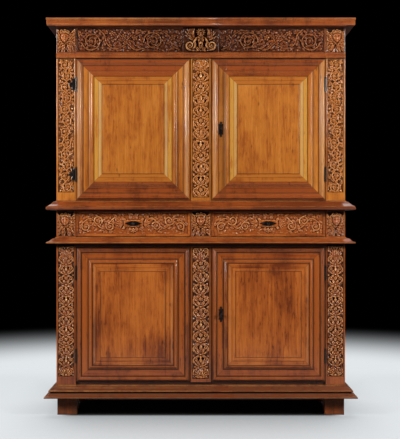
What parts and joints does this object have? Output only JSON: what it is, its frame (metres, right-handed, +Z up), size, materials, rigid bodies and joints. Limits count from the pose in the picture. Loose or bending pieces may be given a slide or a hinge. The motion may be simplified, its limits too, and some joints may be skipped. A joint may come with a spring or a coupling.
{
  "type": "credenza",
  "caption": "Two-stage carved walnut credenza with panelled doors above and below, waist drawers, carved pilasters and frieze, crown cornice, block feet, iron hinges and locks.",
  "frame": {"origin": "on the floor, under the middle of the whole footprint", "axes": "+X to the right of a viewer in front, +Y to the back, +Z up"},
  "size_m": [1.606, 0.538, 2.042],
  "materials": {
    "walnut_upright": "waxed, grain upright",
    "walnut_level": "waxed, grain level",
    "walnut_door": "waxed and polished",
    "walnut_panel": "waxed and polished",
    "inner_boards": "bare, aged",
    "iron": "forged, blackened"
  },
  "bodies": {
    "carcass": {"block_feet": "walnut_level", "plinth_frame": "walnut_level", "base_board": "walnut_level", "base_moulding": "walnut_level", "lower_stile_left": "walnut_upright", "lower_stile_centre": "walnut_upright", "lower_stile_right": "walnut_upright", "lower_side_left": "walnut_upright", "lower_side_right": "walnut_upright", "lower_back_boards": "inner_boards", "lower_shelf": "inner_boards", "drawer_frame": "walnut_level", "waist_moulding": "walnut_level", "waist_top_board": "walnut_level", "upper_bottom_board": "walnut_level", "upper_base_moulding": "walnut_level", "upper_stile_left": "walnut_upright", "upper_stile_centre": "walnut_upright", "upper_stile_right": "walnut_upright", "upper_side_left": "walnut_upright", "upper_side_right": "walnut_upright", "upper_back_boards": "inner_boards", "upper_shelf": "inner_boards", "frieze_rail": "walnut_level", "frieze_bracket": "walnut_level", "frieze_moulding": "walnut_level", "crown_cornice": "walnut_level", "upper_top_board": "walnut_level", "hinge_frame_leaves": "iron"},
    "upper_left_door": {"upper_left_door_frame": "walnut_door", "upper_left_door_moulding": "walnut_door", "upper_left_door_panel": "walnut_panel", "upper_left_door_hinges": "iron"},
    "upper_right_door": {"upper_right_door_frame": "walnut_door", "upper_right_door_moulding": "walnut_door", "upper_right_door_panel": "walnut_panel", "upper_right_door_hinges": "iron", "upper_escutcheon": "iron", "upper_lock_case": "iron"},
    "upper_bolt": {"upper_lock_bolt": "iron"},
    "upper_button": {"upper_turn_button": "inner_boards"},
    "lower_left_door": {"lower_left_door_frame": "walnut_door", "lower_left_door_moulding": "walnut_door", "lower_left_door_panel": "walnut_panel", "lower_left_door_hinges": "iron"},
    "lower_right_door": {"lower_right_door_frame": "walnut_door", "lower_right_door_moulding": "walnut_door", "lower_right_door_panel": "walnut_panel", "lower_right_door_hinges": "iron", "lower_escutcheon": "iron", "lower_lock_case": "iron"},
    "lower_bolt": {"lower_lock_bolt": "iron"},
    "lower_button": {"lower_turn_button": "inner_boards"},
    "key": {"key": "iron"},
    "left_drawer": {"left_drawer_front": "walnut_level", "left_drawer_box": "inner_boards", "left_drawer_pull": "iron"},
    "right_drawer": {"right_drawer_front": "walnut_level", "right_drawer_box": "inner_boards", "right_drawer_pull": "iron"}
  },
  "joints": [
    {"name": "upper_left_door_hinge", "type": "hinge", "parent": "carcass", "child": "upper_left_door", "pos_m": [-0.644, -0.2163, 1.4745], "axis": [0, 0, -1], "range_deg": [0, 115]},
    {"name": "upper_right_door_hinge", "type": "hinge", "parent": "carcass", "child": "upper_right_door", "pos_m": [0.644, -0.2163, 1.4745], "axis": [0, 0, 1], "range_deg": [0, 115]},
    {"name": "upper_bolt_slide", "type": "slide", "parent": "upper_right_door", "child": "upper_bolt", "axis": [-1, 0, 0], "range_m": [0, 0.018]},
    {"name": "upper_button_turn", "type": "hinge", "parent": "carcass", "child": "upper_button", "pos_m": [-0.03, -0.181, 1.4745], "axis": [0, 1, 0], "range_deg": [0, 90]},
    {"name": "lower_left_door_hinge", "type": "hinge", "parent": "carcass", "child": "lower_left_door", "pos_m": [-0.644, -0.2163, 0.5195], "axis": [0, 0, -1], "range_deg": [0, 115]},
    {"name": "lower_right_door_hinge", "type": "hinge", "parent": "carcass", "child": "lower_right_door", "pos_m": [0.644, -0.2163, 0.5195], "axis": [0, 0, 1], "range_deg": [0, 115]},
    {"name": "lower_bolt_slide", "type": "slide", "parent": "lower_right_door", "child": "lower_bolt", "axis": [-1, 0, 0], "range_m": [0, 0.018]},
    {"name": "lower_button_turn", "type": "hinge", "parent": "carcass", "child": "lower_button", "pos_m": [-0.03, -0.181, 0.5195], "axis": [0, 1, 0], "range_deg": [0, 90]},
    {"name": "key_turn", "type": "hinge", "parent": "lower_right_door", "child": "key", "pos_m": [0.104, -0.211, 0.5195], "axis": [0, -1, 0], "range_deg": [0, 180]},
    {"name": "left_drawer_slide", "type": "slide", "parent": "carcass", "child": "left_drawer", "axis": [0, -1, 0], "range_m": [0, 0.32]},
    {"name": "right_drawer_slide", "type": "slide", "parent": "carcass", "child": "right_drawer", "axis": [0, -1, 0], "range_m": [0, 0.32]}
  ],
  "couplings": [
    {"joint": "lower_bolt_slide", "follows": "key_turn", "m_per_rad": 0.0057296}
  ]
}
